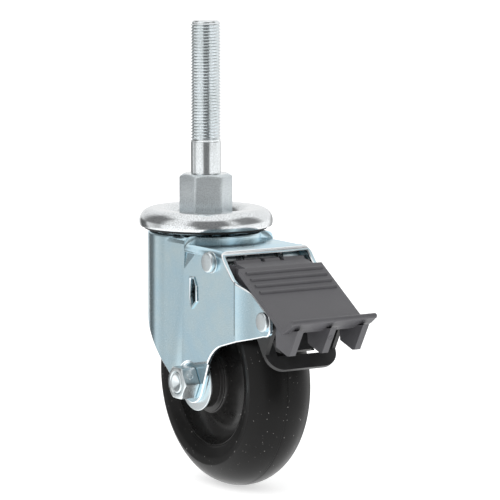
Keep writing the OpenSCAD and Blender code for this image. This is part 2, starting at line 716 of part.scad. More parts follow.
threaded_stem();
upper_race_cup();
dust_seal();
upper_balls();
lower_balls();
lower_race();
lock_ring();
fork();
upper_rivet();
lower_rivet();
axle_bolt();
axle_nut();
side_discs();
axle_sleeve();
rivet_spacers();
lock_springs();
tyre();
wheel_centre();
hub_bushes();
thread_guards();
lock_lever();
pedal_cover();
brake_lever();
brake_shoe();
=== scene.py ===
import json
import math

import bmesh
import bpy
from mathutils import Matrix, Vector


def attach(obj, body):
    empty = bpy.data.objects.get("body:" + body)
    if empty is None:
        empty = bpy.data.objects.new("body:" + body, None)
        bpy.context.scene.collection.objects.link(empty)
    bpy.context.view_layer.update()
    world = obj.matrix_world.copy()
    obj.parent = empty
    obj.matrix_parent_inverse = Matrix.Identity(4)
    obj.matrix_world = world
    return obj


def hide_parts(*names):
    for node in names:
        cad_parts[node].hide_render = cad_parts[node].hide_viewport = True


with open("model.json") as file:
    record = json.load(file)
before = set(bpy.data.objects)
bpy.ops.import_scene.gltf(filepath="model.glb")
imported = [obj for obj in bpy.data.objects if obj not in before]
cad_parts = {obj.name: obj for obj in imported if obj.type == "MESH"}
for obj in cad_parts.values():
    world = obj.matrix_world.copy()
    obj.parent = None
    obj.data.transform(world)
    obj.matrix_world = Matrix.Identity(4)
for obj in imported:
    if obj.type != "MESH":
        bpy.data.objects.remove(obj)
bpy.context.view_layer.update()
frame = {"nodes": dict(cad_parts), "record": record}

# Swivel castor with a foot brake, seen from the near left of the pedal.
# Lengths in the dictionaries are in millimetres, angles in degrees.
mm = 0.001
nodeOf = frame["nodes"]
slotOf = {row["node"]: row["material_slot"] for row in frame["record"]["subparts"]}
bodies = frame["record"]["behaviour"]["bodies"]
bodyOf = {node: body for body, members in bodies.items() for node in members}

# Places that several pieces share
place = {
    "axleX": 24.9, "axleZ": -92.2,
    "upperX": 44.0, "upperZ": -35.0,
    "pivotX": 84.033, "pivotZ": -57.229,
    "cameraTurn": 58.0,
}


def turnedFromCamera(turn):
    # Level direction that lies this far round from the camera, seen from the object
    angle = math.radians(place["cameraTurn"] + turn)
    return Vector((math.sin(angle), -math.cos(angle), 0))


def makeCamera():
    values = {"tilt": 7.5, "distance": 1500.0, "aim": (13.05, 15.96, -35.68), "lens": 232.6, "sensor": 36.0,
              "clip": (50.0, 50000.0)}
    tilt = math.radians(values["tilt"])
    look = -turnedFromCamera(0) * math.cos(tilt) - Vector((0, 0, math.sin(tilt)))
    data = bpy.data.cameras.new("camera")
    data.lens, data.sensor_width = values["lens"], values["sensor"]
    data.clip_start, data.clip_end = values["clip"][0] * mm, values["clip"][1] * mm
    camera = bpy.data.objects.new("camera", data)
    camera.location = (Vector(values["aim"]) - look * values["distance"]) * mm
    camera.rotation_mode = "QUATERNION"
    camera.rotation_quaternion = look.to_track_quat("-Z", "Y")
    bpy.context.scene.collection.objects.link(camera)
    bpy.context.scene.camera = camera


makeCamera()
print("camera ready")


def startMaterial(name):
    material = bpy.data.materials.new(name)
    material.use_nodes = True
    tree = material.node_tree
    return material, tree, tree.nodes["Principled BSDF"]


def noiseField(tree, size, detail=4.0, roughness=0.55):
    # size is the width of one patch in mm
    coords = tree.nodes.new("ShaderNodeTexCoord")
    mapping = tree.nodes.new("ShaderNodeMapping")
    mapping.inputs["Scale"].default_value = [1 / (size * mm)] * 3
    field = tree.nodes.new("ShaderNodeTexNoise")
    field.inputs["Scale"].default_value = 1.0
    field.inputs["Detail"].default_value = detail
    field.inputs["Roughness"].default_value = roughness
    tree.links.new(coords.outputs["Object"], mapping.inputs["Vector"])
    tree.links.new(mapping.outputs["Vector"], field.inputs["Vector"])
    return field.outputs["Fac"]


def ramp(tree, source, stops):
    node = tree.nodes.new("ShaderNodeValToRGB")
    colours = node.color_ramp.elements
    colours[0].position, colours[1].position = stops[0][0], stops[-1][0]
    for position, colour in stops[1:-1]:
        colours.new(position)
    for element, (position, colour) in zip(colours, stops):
        element.color = (*colour, 1) if isinstance(colour, tuple) else (colour, colour, colour, 1)
    tree.links.new(source, node.inputs["Fac"])
    return node.outputs["Color"]


def mixed(tree, kind, factor, first, second):
    # The mix node has sockets for each kind of data; 6, 7 and 2 are the colour ones
    node = tree.nodes.new("ShaderNodeMix")
    node.data_type, node.blend_type = "RGBA", kind
    if isinstance(factor, float):
        node.inputs[0].default_value = factor
    else:
        tree.links.new(factor, node.inputs[0])
    tree.links.new(first, node.inputs[6])
    tree.links.new(second, node.inputs[7])
    return node.outputs[2]


def bumped(tree, shader, layers):
    # layers: (height, strength, depth in mm) from the coarsest to the finest
    normal = None
    for height, strength, depth in layers:
        node = tree.nodes.new("ShaderNodeBump")
        node.inputs["Strength"].default_value = strength
        node.inputs["Distance"].default_value = depth * mm
        tree.links.new(height, node.inputs["Height"])
        if normal:
            tree.links.new(normal, node.inputs["Normal"])
        normal = node.outputs["Normal"]
    tree.links.new(normal, shader.inputs["Normal"])


def paintedShadeByHeight(tree, stops):
    # Painted shade by height: stops are (height in mm, brightness), all within reach of the shoulder
    reach = 100
    coords = tree.nodes.new("ShaderNodeTexCoord")
    parts = tree.nodes.new("ShaderNodeSeparateXYZ")
    share = tree.nodes.new("ShaderNodeMapRange")
    share.inputs["From Min"].default_value, share.inputs["From Max"].default_value = -reach * mm, reach * mm
    tree.links.new(coords.outputs["Object"], parts.inputs[0])
    tree.links.new(parts.outputs["Z"], share.inputs["Value"])
    return ramp(tree, share.outputs["Result"], [((z + reach) / (2 * reach), shade) for z, shade in stops])


def zincPlate(name, cool, warm, rough, grain=0.8, patch=14.0, speckle=0.2, grainDepth=0.03, paintedShades=None):
    # Plated steel: cloudy bluish and warmer patches, fine crystals in colour, gloss and relief, and where
    # given, painted shade by height
    values = {
        "clouds": (0.32, 0.66), "crystals": (0.36, 0.58), "gloss": (0.3, 0.7),  # from and to, in the noise
        "cloudRelief": (0.22, 0.12), "crystalRelief": 0.3,
    }
    v = values
    material, tree, shader = startMaterial(name)
    shader.inputs["Metallic"].default_value = 1.0
    broad = noiseField(tree, patch, 3.0)
    fine = noiseField(tree, grain, 3.0, 0.65)
    base = ramp(tree, broad, list(zip(v["clouds"], (warm, cool))))
    crystals = ramp(tree, fine, list(zip(v["crystals"], (1 - speckle, 1.0))))
    base = mixed(tree, "MULTIPLY", 1.0, base, crystals)
    if paintedShades:
        # painted shade: the colour darkens by height, here towards the top edge of the hexagon's flats
        base = mixed(tree, "MULTIPLY", 1.0, base, paintedShadeByHeight(tree, paintedShades))
    tree.links.new(base, shader.inputs["Base Color"])
    gloss = ramp(tree, fine, list(zip(v["gloss"], (rough[1], rough[0]))))
    tree.links.new(gloss, shader.inputs["Roughness"])
    bumped(tree, shader, [(broad, *v["cloudRelief"]), (fine, v["crystalRelief"], grainDepth)])
    return material


def polymer(name, light, dark, rough, grain=0.5, patch=9.0, texture=0.25, dust=0.0, shine=0.5):
    # Moulded rubber or plastic: soft clouding, fine skin and, where wanted, pale specks of dust
    values = {
        "clouds": (0.3, 0.7), "cloudRelief": (0.08, 0.1), "skinDepth": 0.03,
        "speckSize": 1.1, "specks": (0.735, 0.78), "speckColours": ((0.28, 0.27, 0.26), (0.36, 0.35, 0.34)),
    }
    v = values
    material, tree, shader = startMaterial(name)
    shader.inputs["Specular IOR Level"].default_value = shine
    broad = noiseField(tree, patch, 4.0)
    fine = noiseField(tree, grain, 2.0, 0.6)
    base = ramp(tree, broad, list(zip(v["clouds"], (dark, light))))
    if dust:
        spots = noiseField(tree, v["speckSize"], 1.0, 0.5)
        amount = ramp(tree, spots, list(zip(v["specks"], (0.0, dust))))
        pale = ramp(tree, broad, list(zip((0.0, 1.0), v["speckColours"])))
        base = mixed(tree, "MIX", amount, base, pale)
    tree.links.new(base, shader.inputs["Base Color"])
    tree.links.new(ramp(tree, broad, list(zip(v["clouds"], rough))), shader.inputs["Roughness"])
    bumped(tree, shader, [(broad, *v["cloudRelief"]), (fine, texture, v["skinDepth"])])
    return material


finish = {
    "stem_steel": zincPlate("brightZincStem", (0.86, 0.90, 0.92), (0.80, 0.84, 0.85), (0.14, 0.24),
                            grain=0.45, patch=8, speckle=0.2, grainDepth=0.035),
    "race_steel": zincPlate("brightZincRace", (0.93, 0.96, 0.98), (0.88, 0.91, 0.92), (0.12, 0.24),
                            grain=0.42, patch=12, speckle=0.34, grainDepth=0.04),
    "fork_steel": zincPlate("satinZincFork", (0.57, 0.78, 0.89), (0.66, 0.82, 0.87), (0.2, 0.3),
                            grain=0.4, patch=15, speckle=0.08, grainDepth=0.012),
    "fixing_steel": zincPlate("zincFixings", (0.80, 0.88, 0.91), (0.80, 0.85, 0.86), (0.26, 0.38),
                              grain=0.5, patch=6, speckle=0.12),
    "inner_steel": zincPlate("plainSteel", (0.42, 0.43, 0.44), (0.32, 0.33, 0.34), (0.3, 0.5),
                             grain=0.8, patch=6, speckle=0.3),
    "ball_steel": zincPlate("ballSteel", (0.62, 0.63, 0.64), (0.55, 0.56, 0.57), (0.08, 0.14),
                            grain=0.8, patch=6, speckle=0.05),
    "seal_rubber": polymer("sealRubber", (0.012, 0.012, 0.012), (0.008, 0.008, 0.008), (0.6, 0.7)),
    "tyre_rubber": polymer("tyreRubber", (0.0072, 0.007, 0.0069), (0.0045, 0.0044, 0.0043), (0.26, 0.38),
                           grain=0.6, patch=14, texture=0.12, dust=0.6, shine=0.17),
    "wheel_plastic": polymer("wheelPlastic", (0.022, 0.0215, 0.021), (0.015, 0.0148, 0.0145), (0.24, 0.36),
                             grain=0.7, patch=8, texture=0.08, dust=0.5, shine=0.42),
    "bush_plastic": polymer("bushNylon", (0.6, 0.58, 0.53), (0.5, 0.48, 0.44), (0.4, 0.5)),
    "pedal_plastic": polymer("pedalPlastic", (0.088, 0.087, 0.094), (0.074, 0.073, 0.079), (0.42, 0.52),
                             grain=0.35, patch=10, texture=0.35, shine=0.45),
    "lever_steel": polymer("blackCoatedSteel", (0.02, 0.02, 0.0205), (0.013, 0.013, 0.0135), (0.34, 0.46),
                           grain=0.5, patch=7, texture=0.2),
    "shoe_plastic": polymer("shoePlastic", (0.035, 0.035, 0.036), (0.027, 0.027, 0.028), (0.45, 0.55)),
}
hexPaintedShade = [(-20, 1.0), (-15, 1.0), (-8, 0.94), (-1.6, 0.9), (-0.6, 1.0)]  # painted shade on the hexagon's flats: (height in mm, brightness)
hexSteelPaintedShade = zincPlate("drawnHexSteelPaintedShade", (0.92, 0.98, 1.0), (0.88, 0.94, 0.97), (0.44, 0.6),
                     grain=0.38, patch=7, speckle=0.3, grainDepth=0.04, paintedShades=hexPaintedShade)
# painted highlight: a pale steel laid on the fork's rounded edges
edgeHighlightSteel = zincPlate("roundedEdgePaintedHighlight", (0.95, 0.98, 1.0), (0.93, 0.96, 0.97), (0.14, 0.22),
                      grain=0.4, patch=6, speckle=0.04, grainDepth=0.01)
# painted shade: dark steel for the strips along the fork's folds
creaseShadeSteel = zincPlate("creaseShade", (0.16, 0.18, 0.19), (0.13, 0.14, 0.15), (0.4, 0.6),
                        grain=0.5, patch=5, speckle=0.3)
print("materials ready")


def addPiece(name, mesh, node, smoothAngle=32.0):
    mesh.name = name
    piece = bpy.data.objects.new(name, mesh)
    bpy.context.scene.collection.objects.link(piece)
    mesh.materials.clear()
    mesh.materials.append(finish[slotOf[node]])
    for polygon in mesh.polygons:
        polygon.use_smooth = True
    mesh.set_sharp_from_angle(angle=math.radians(smoothAngle))
    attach(piece, bodyOf[node])
    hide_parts(node)
    return piece


def meshFrom(points, faces):
    # points in mm; those nearer to each other than weld, in metres, become one
    weld = 1e-7
    mesh = bpy.data.meshes.new("mesh")
    mesh.from_pydata([Vector(point) * mm for point in points], [], faces)
    shape = bmesh.new()
    shape.from_mesh(mesh)
    bmesh.ops.remove_doubles(shape, verts=shape.verts, dist=weld)
    bmesh.ops.dissolve_degenerate(shape, dist=weld, edges=shape.edges)
    bmesh.ops.recalc_face_normals(shape, faces=shape.faces)
    shape.to_mesh(mesh)
    shape.free()
    return mesh


def joined(meshes):
    shape = bmesh.new()
    for mesh in meshes:
        shape.from_mesh(mesh)
    mesh = bpy.data.meshes.new("joined")
    shape.to_mesh(mesh)
    shape.free()
    return mesh


def mirrored(mesh):
    # The same mesh on the other side of the middle plane
    shape = bmesh.new()
    shape.from_mesh(mesh)
    for vert in shape.verts:
        vert.co.y = -vert.co.y
    bmesh.ops.reverse_faces(shape, faces=shape.faces)
    other = bpy.data.meshes.new("mirrored")
    shape.to_mesh(other)
    shape.free()
    return other


def arc(x, y, radius, start, end, steps):
    angles = [math.radians(start + (end - start) * i / steps) for i in range(steps + 1)]
    return [(x + radius * math.cos(a), y + radius * math.sin(a)) for a in angles]


def rounded(corners, steps=4):
    # A closed outline; a corner given as (x, y, size) is rounded off over that length
    mostOfSide = 0.48
    outline = []
    for i, corner in enumerate(corners):
        here = Vector(corner[:2])
        if len(corner) < 3:
            outline.append(tuple(here))
            continue
        before, after = Vector(corners[i - 1][:2]), Vector(corners[(i + 1) % len(corners)][:2])
        start = here + (before - here).normalized() * min(corner[2], mostOfSide * (before - here).length)
        end = here + (after - here).normalized() * min(corner[2], mostOfSide * (after - here).length)
        for k in range(steps + 1):
            t = k / steps
            outline.append(tuple(start * (1 - t) ** 2 + here * 2 * t * (1 - t) + end * t * t))
    return outline


def lathe(outline, axis="Z", centre=(0, 0), segments=128):
    # Turns a closed outline of (radius, distance along the axis), which may touch the axis
    points, faces, rings = [], [], []
    for radius, along in outline:
        ring = []
        for k in range(1 if radius < 1e-6 else segments):
            angle = 2 * math.pi * k / segments
            u, v = radius * math.cos(angle) + centre[0], radius * math.sin(angle) + centre[1]
            ring.append(len(points))
            points.append((u, v, along) if axis == "Z" else (u, along, v))
        rings.append(ring)
    for i, ring in enumerate(rings):
        other = rings[(i + 1) % len(rings)]
        if len(ring) == 1 and len(other) == 1:
            continue
        for k in range(segments):
            corners = [ring[k % len(ring)], ring[(k + 1) % len(ring)],
                       other[(k + 1) % len(other)], other[k % len(other)]]
            faces.append(list(dict.fromkeys(corners)))
    return meshFrom(points, faces)


def loft(rings):
    # Skins rings with the same number of points and caps both ends
    count = len(rings[0])
    points = [point for ring in rings for point in ring]
    faces = []
    for i in range(len(rings) - 1):
        for k in range(count):
            here, beside = i * count + k, i * count + (k + 1) % count
            faces.append([here, beside, beside + count, here + count])
    faces.append(list(range(count)))
    faces.append([(len(rings) - 1) * count + k for k in range(count)])
    return meshFrom(points, faces)


def hexRing(flats, height, inset=0.0, rim=None, drop=0.0, turn=0.0, samples=96, blunt=0.12):
    # One ring of a hexagon with blunt corners; past the rim radius it falls by drop for each mm
    corner = flats / 2 / math.cos(math.radians(30)) - blunt
    ring = []
    for k in range(samples):
        angle = 360 * k / samples
        radius = min(flats / 2 / math.cos(math.radians(angle % 60 - 30)), corner) - inset
        fall = 0 if rim is None else max(0, radius - rim) * drop
        a = math.radians(angle + turn)
        ring.append((radius * math.cos(a), radius * math.sin(a), height - fall))
    return ring


def circleRing(radius, height, samples=96, turn=0.0):
    angles = [math.radians(360 * k / samples + turn) for k in range(samples)]
    return [(radius * math.cos(a), radius * math.sin(a), height) for a in angles]


def raisedRing(centre, facing, radius, wire, around=36, across=8):
    # A low moulded or stamped ring that stands half out of the surface at centre
    facing = Vector(facing).normalized()
    side = facing.orthogonal().normalized()
    up = facing.cross(side)
    points, faces = [], []
    for i in range(around):
        a = 2 * math.pi * i / around
        out = side * math.cos(a) + up * math.sin(a)
        for k in range(across):
            b = 2 * math.pi * k / across
            points.append(Vector(centre) + out * (radius + wire * math.cos(b)) + facing * wire * math.sin(b))
            nextRing, nextPoint = (i + 1) % around, (k + 1) % across
            faces.append([i * across + k, nextRing * across + k,
                          nextRing * across + nextPoint, i * across + nextPoint])
    return meshFrom(points, faces)


def alongY(mesh, x, z, sign=1):
    # Lays a mesh made along Z on the axle's direction, its Z turned to sign times Y
    turn = Matrix.Rotation(math.radians(-90 * sign), 4, "X")
    mesh.transform(Matrix.Translation(Vector((x, 0, z)) * mm) @ turn)
    return mesh


def cleanCopy(node):
    # The solid's surface with its triangles joined to flat faces
    weld, flat = 3e-6, 0.6  # metres and degrees
    mesh = bpy.data.meshes.new(node)
    shape = bmesh.new()
    shape.from_mesh(nodeOf[node].data)
    bmesh.ops.remove_doubles(shape, verts=shape.verts, dist=weld)
    bmesh.ops.dissolve_degenerate(shape, dist=weld, edges=shape.edges)
    bmesh.ops.dissolve_limit(shape, angle_limit=math.radians(flat), verts=shape.verts, edges=shape.edges)
    shape.to_mesh(mesh)
    shape.free()
    return mesh


def softEdges(piece, width, angle=30.0, segments=2):
    bevel = piece.modifiers.new("softEdges", "BEVEL")
    bevel.width, bevel.segments = width * mm, segments
    bevel.limit_method, bevel.angle_limit = "ANGLE", math.radians(angle)
    bevel.use_clamp_overlap = True
    return piece


def makeStem():
    values = {
        "outer": 7.15, "root": 6.3, "pitch": 25.4 / 18, "threadStart": 15.0, "fadeTurns": 1.2, "steps": 72,
        "crest": 0.10, "valley": 0.16,  # shares of the pitch that are flat
        "tip": 70.7, "tipChamfer": 1.5, "tipSlope": 0.9, "neck": 6.95, "neckStep": 0.15,
        "hexFlats": 21.6, "hexTurn": 5.4, "hexFoot": -19.9, "hexInside": 8.0, "hexDrop": 0.62, "rim": 10.2,
        "pinRadius": 6.0, "pinEnd": -38.4, "headRadius": 8.0, "headThick": 2.0,
    }
    v = values
    steps, pitch = v["steps"], v["pitch"]
    middle = (v["root"] + v["outer"]) / 2
    flank = (1 - v["crest"] - v["valley"]) / 2
    section = [(0.0, v["root"]), (flank * 0.5, middle), (flank, v["outer"]), (flank + v["crest"], v["outer"]),
               (flank * 1.5 + v["crest"], middle), (flank * 2 + v["crest"], v["root"])]
    turns = int((v["tip"] - v["threadStart"]) / pitch) + 3
    runIn, runOut = v["neck"] - v["neckStep"], v["tip"] - v["tipChamfer"]
    points, faces = [], []
    for i in range(steps):
        angle = 2 * math.pi * i / steps
        for k in range(turns):
            for share, radius in section:
                z = v["threadStart"] + (k - 1 + i / steps + share) * pitch
                z = min(max(z, v["threadStart"]), v["tip"])
                fade = min(1, max(0, (z - v["threadStart"]) / (pitch * v["fadeTurns"])))
                radius = runIn + (radius - runIn) * fade
                if z > runOut:
                    radius = min(radius, v["outer"] - (z - runOut) * v["tipSlope"])
                points.append((radius * math.cos(angle), radius * math.sin(angle), z))
    rows = turns * len(section)
    for i in range(steps):
        for r in range(rows - 1):
            if i < steps - 1:
                faces.append([i * rows + r, (i + 1) * rows + r, (i + 1) * rows + r + 1, i * rows + r + 1])
            elif r + 1 + len(section) < rows:  # the last column meets the first one turn further up
                shift = r + len(section)
                faces.append([i * rows + r, shift, shift + 1, i * rows + r + 1])
    faces.append([i * rows for i in range(steps)])
    faces.append([i * rows + rows - 1 for i in range(steps)])
    thread = meshFrom(points, faces)
    neckTop = v["threadStart"] + 0.1
    neck = lathe(rounded([(0, -0.5), (v["neck"], -0.5), (v["neck"], neckTop, 0.4), (0, neckTop)]),
                 segments=96)
    flats, turn, foot, rim, drop = v["hexFlats"], v["hexTurn"], v["hexFoot"], v["rim"], v["hexDrop"]
    hexagon = loft([hexRing(flats, foot, 0.1, turn=turn), hexRing(flats, foot + 0.15, turn=turn),
                    hexRing(flats, -0.25, 0.0, rim, drop, turn), hexRing(flats, -0.03, 0.2, rim, drop, turn),
                    circleRing(rim, 0, turn=turn), circleRing(v["neck"] - 0.5, 0, turn=turn)])
    head, end = v["headRadius"], v["pinEnd"]
    pin = lathe(rounded([(0, foot + 0.5), (v["pinRadius"], foot + 0.5), (v["pinRadius"], end),
                         (head, end, 0.4), (head, end - v["headThick"], 1.5), (0, end - v["headThick"])]),
                segments=96)
    stem = addPiece("stem", joined([thread, neck, hexagon, pin]), "threaded_stem", 34)
    stem.data.materials.append(hexSteelPaintedShade)
    for polygon in stem.data.polygons:  # the hexagon's flats have a finish of their own, a lighter and rougher zinc with painted shade by height
        if foot * mm < polygon.center.z < 0 and polygon.center.xy.length > v["hexInside"] * mm:
            polygon.material_index = 1


makeStem()
print("stem ready")


def makeBearing():
    values = {
        "top": -15.9, "outer": 31.1, "sheet": 2.2, "bend": 6.0, "crest": 3.6, "hole": 6.0,
        "wellFloor": -19.9, "wellBend": 1.6, "lipRadius": 28.9, "lipZ": -24.6, "sealThickness": 0.7,
    }
    v = values
    crestOut = v["outer"] - v["bend"]
    crestIn = crestOut - v["crest"]
    z = v["top"] - v["bend"]

    def skin(inset):
        radius = v["bend"] - inset
        return arc(crestIn, z, radius, 172.5, 90, 24) + arc(crestOut, z, radius, 90, -20, 30)

    outside, inside = skin(0), skin(v["sheet"])
    foot = outside[0][0] - 0.6
    lipIn, lipZ = v["lipRadius"] - v["sheet"], v["lipZ"]
    outline = [(v["hole"], v["wellFloor"])]
    outline += arc(foot - 1.2, v["wellFloor"] + v["wellBend"], v["wellBend"], -90, -20, 6) + outside
    outline += rounded([outside[-1], (v["lipRadius"], lipZ, 0.5), (lipIn, lipZ, 0.5), inside[-1]])[1:-1]
    under = v["wellFloor"] - v["sheet"]
    outline += inside[::-1] + [(foot + 1, under), (v["hole"], under)]
    addPiece("raceCup", lathe(outline, segments=192), "upper_race_cup", 40)
    sealOut, sealLow = v["lipRadius"] - 0.2, lipZ - v["sealThickness"]
    sealIn = sealOut - v["sheet"]
    seal = rounded([(sealIn, lipZ), (sealOut, lipZ), (sealOut, sealLow, 0.3), (sealIn, sealLow, 0.3)])
    addPiece("dustSeal", lathe(seal, segments=160), "dust_seal")


makeBearing()
print("bearing ready")


def makeUpperRivet():
    values = {"radius": 2.1, "head": 4.5, "headOut": 26.7, "headIn": 25.1, "neck": 3.3, "collar": 4.95,
              "collarOut": 24.35, "wall": 24.0}
    v = values
    half = [(0, v["headOut"]), (v["head"], v["headOut"], 0.7), (v["head"], v["headIn"], 0.35),
            (v["neck"], v["headIn"] - 0.1), (v["neck"], v["collarOut"]), (v["collar"], v["collarOut"], 0.2),
            (v["collar"], v["wall"]), (v["radius"], v["wall"]), (v["radius"], 0), (0, 0)]
    side = lathe(rounded(half), "Y", (place["upperX"], place["upperZ"]), 64)
    addPiece("upperRivet", joined([side, mirrored(side)]), "upper_rivet")


def makeLowerRivet():
    values = {"radius": 3.0, "head": 4.4, "headOut": 23.0, "wall": 21.2}
    v = values
    half = [(0, v["headOut"]), (v["head"], v["headOut"], 0.8), (v["head"], v["wall"], 0.1),
            (v["radius"], v["wall"]), (v["radius"], 0), (0, 0)]
    side = lathe(rounded(half), "Y", (place["pivotX"], place["pivotZ"]), 64)
    addPiece("lowerRivet", joined([side, mirrored(side)]), "lower_rivet")


def makeAxle():
    values = {
        "bolt": 4.75, "boss": 23.2, "nut": 8.0, "flats": 14.2, "headThick": 6.0, "proud": 0.3, "recess": 3.4,
        "discOut": 13.7, "discIn": 19.9, "discFar": 21.0, "rim": 6.9, "drop": 0.55,
        "mark": 1.35, "markAngle": 30.0, "markAlong": 0.52, "markWire": 0.2,
    }
    v = values
    x, z = place["axleX"], place["axleZ"]
    bolt, flats, rim, drop = v["bolt"], v["flats"], v["rim"], v["drop"]
    near, far = v["boss"], v["boss"] + v["nut"]
    end = far + v["proud"]
    shank = lathe(rounded([(0, -end + 2.6), (0.5, -end + 2.4, 0.1), (v["recess"], -end + 0.1, 0.2),
                           (bolt - 0.5, -end, 0.2), (bolt, -end + 0.5, 0.2), (bolt, near), (0, near)]),
                  "Y", (x, z), 64)
    headEnd = near + v["headThick"]
    head = loft([hexRing(flats, near), hexRing(flats, headEnd - 0.15, 0, rim, drop),
                 hexRing(flats, headEnd, 0.2, rim, drop), circleRing(rim, headEnd), circleRing(1.0, headEnd)])
    addPiece("axleBolt", joined([shank, alongY(head, x, z)]), "axle_bolt")

    nut = loft([circleRing(bolt, near), hexRing(flats, near + 0.15, 0.3), hexRing(flats, near + 0.4),
                hexRing(flats, far - 0.15, 0, rim, drop), hexRing(flats, far, 0.2, rim, drop),
                circleRing(rim, far), circleRing(bolt + 0.7, far), circleRing(bolt + 0.1, far - 0.7),
                circleRing(bolt, near + 0.1)])
    angle = math.radians(v["markAngle"])
    facing = (math.cos(angle), 0, math.sin(angle))
    spot = (x + flats / 2 * facing[0], -(near + v["nut"] * v["markAlong"]), z + flats / 2 * facing[2])
    mark = raisedRing(spot, facing, v["mark"], v["markWire"])
    addPiece("axleNut", joined([alongY(nut, x, z, -1), mark]), "axle_nut")

    hole = bolt + 0.05
    disc = lathe(rounded([(hole, v["discIn"]), (v["discOut"], v["discIn"], 0.3),
                          (v["discOut"], v["discFar"], 0.45), (hole, v["discFar"])]), "Y", (x, z), 96)
    addPiece("sideDiscs", joined([disc, mirrored(disc)]), "side_discs")


def makeSpacers():
    values = {"bore": 2.1, "outer": 3.1, "start": 12.5, "end": 21.8, "bevel": 1.4}
    v = values
    half = [(v["bore"], v["start"]), (v["outer"], v["start"], 0.2), (v["outer"], v["end"] - v["bevel"]),
            (v["bore"] + 0.1, v["end"]), (v["bore"], v["end"])]
    tube = lathe(rounded(half), "Y", (place["upperX"], place["upperZ"]), 48)
    addPiece("rivetSpacers", joined([tube, mirrored(tube)]), "rivet_spacers")


def makeSprings():
    # A wound wire round the upper rivet on each side, with one straight tail
    values = {"wire": 0.84, "wireSides": 10, "radius": 2.65, "start": 9.3, "turns": 3, "pitch": 0.9,
              "tail": 6.0, "perTurn": 24}
    v = values
    x, z = place["upperX"], place["upperZ"]
    path = [Vector((x + v["tail"], v["start"], z + v["radius"]))]
    for i in range(v["turns"] * v["perTurn"] + 1):
        angle = math.radians(90 + 360 * i / v["perTurn"])
        path.append(Vector((x + v["radius"] * math.cos(angle), v["start"] + v["pitch"] * i / v["perTurn"],
                            z + v["radius"] * math.sin(angle))))
    angles = [math.radians(360 / v["wireSides"] * k) for k in range(v["wireSides"])]
    half = v["wire"] / 2
    rings = []
    for i, point in enumerate(path):
        ahead = (path[min(i + 1, len(path) - 1)] - path[max(i - 1, 0)]).normalized()
        side = ahead.cross(Vector((0, 1, 0))).normalized()
        up = side.cross(ahead)
        rings.append([tuple(point + half * (side * math.cos(a) + up * math.sin(a))) for a in angles])
    spring = loft(rings)
    addPiece("lockSprings", joined([spring, mirrored(spring)]), "lock_springs", 60)


makeUpperRivet()
makeLowerRivet()
makeAxle()
makeSpacers()
makeSprings()
print("fixings ready")


def makeTyre():
    values = {
        "radius": 50.0, "tread": 17.2, "treadStart": 39.0, "half": 16.0, "bond": 30.5, "dish": 31.7,
        "rim": 14.25, "slopeEnd": (35.2, 15.5), "bulge": (36.6, 16.0), "bulgeSteps": 10,
        "seamY": -2.8, "seamHalf": 0.28, "seamDepth": 0.14,
    }
    v = values
    centre = v["radius"] - v["tread"]
    edge = math.degrees(math.asin(v["half"] / v["tread"]))
    side = rounded([(v["bond"], 0), (v["bond"], v["rim"] - 1), (v["dish"] - 0.4, v["rim"] - 0.2),
                    (v["dish"], v["rim"], 0.25), v["slopeEnd"]])
    start, bulge, end = Vector(v["slopeEnd"]), Vector(v["bulge"]), Vector((v["treadStart"], v["half"]))
    for i in range(1, v["bulgeSteps"] + 1):  # the side swells softly to the full width
        t = i / v["bulgeSteps"]
        side.append(tuple(start * (1 - t) ** 2 + bulge * 2 * t * (1 - t) + end * t * t))
    tread = [(r, y) for r, y in arc(centre, 0, v["tread"], edge, -edge, 80)
             if abs(y - v["seamY"]) > v["seamHalf"] * 1.2 and r > v["treadStart"] + 0.05]
    reach = math.sqrt(v["tread"] ** 2 - v["seamY"] ** 2) + centre
    seam = [(reach - depth, v["seamY"] + offset * v["seamHalf"])
            for offset, depth in ((1, 0), (0.15, v["seamDepth"]), (-0.15, v["seamDepth"]), (-1, 0))]
    first = next(i for i, point in enumerate(tread) if point[1] < v["seamY"])
    tread = tread[:first] + seam + tread[first:]
    outline = side + tread + [(r, -y) for r, y in side[::-1] if y > 0]
    addPiece("tyre", lathe(outline, "Y", (place["axleX"], place["axleZ"]), 224), "tyre", 38)


def makeWheelCentre():
    values = {"bore": 9.1, "hub": 15.0, "half": 14.0, "depth": 9.0, "sunk": 0.8, "bond": 30.5}
    v = values
    dishIn, dishOut = v["hub"] + 0.6, v["bond"] - 0.6
    middle, reach = (dishIn + dishOut) / 2, (dishOut - dishIn) / 2
    bowl = []
    for degrees in range(180, -1, -5):
        a = math.radians(degrees)
        bowl.append((middle + reach * math.cos(a), v["half"] - v["sunk"] - v["depth"] * math.sin(a)))
    half = [(v["bore"], v["half"])] + arc(dishIn - 0.7, v["half"] - 0.5, 0.5, 90, 0, 4) + bowl
    half += arc(dishOut + 0.3, v["half"] - 1.1, 0.3, 160, 90, 3) + [(v["bond"], v["half"] - 1)]
    outline = half + [(r, -y) for r, y in half[::-1]]
    addPiece("wheelCentre", lathe(outline, "Y", (place["axleX"], place["axleZ"]), 192), "wheel_centre", 38)


def makeThreadGuards():
    values = {"bore": 6.9, "outer": 14.8, "base": 14.0, "step": 12.7, "lip": 12.3, "face": 19.6}
    v = values
    half = [(v["bore"], v["base"]), (v["outer"], v["base"]), (v["outer"], v["base"] + 0.6, 0.3),
            (v["step"], v["base"] + 1, 0.3), (v["lip"], v["face"] - 0.6, 0.3),
            (v["lip"] - 0.6, v["face"], 0.3), (v["bore"], v["face"])]
    side = lathe(rounded(half), "Y", (place["axleX"], place["axleZ"]), 128)
    addPiece("threadGuards", joined([side, mirrored(side)]), "thread_guards")


makeTyre()
makeWheelCentre()
makeThreadGuards()
print("wheel ready")


def ejectorMark():
    # Round mark on the front of the pedal's middle rib
    values = {"out": 21.16, "down": 5.88, "radius": 1.0, "wire": 0.16, "facing": (0.864, 0, -0.503)}
    spot = (place["pivotX"] + values["out"], 0, place["pivotZ"] - values["down"])
    return raisedRing(spot, values["facing"], values["radius"], values["wire"])


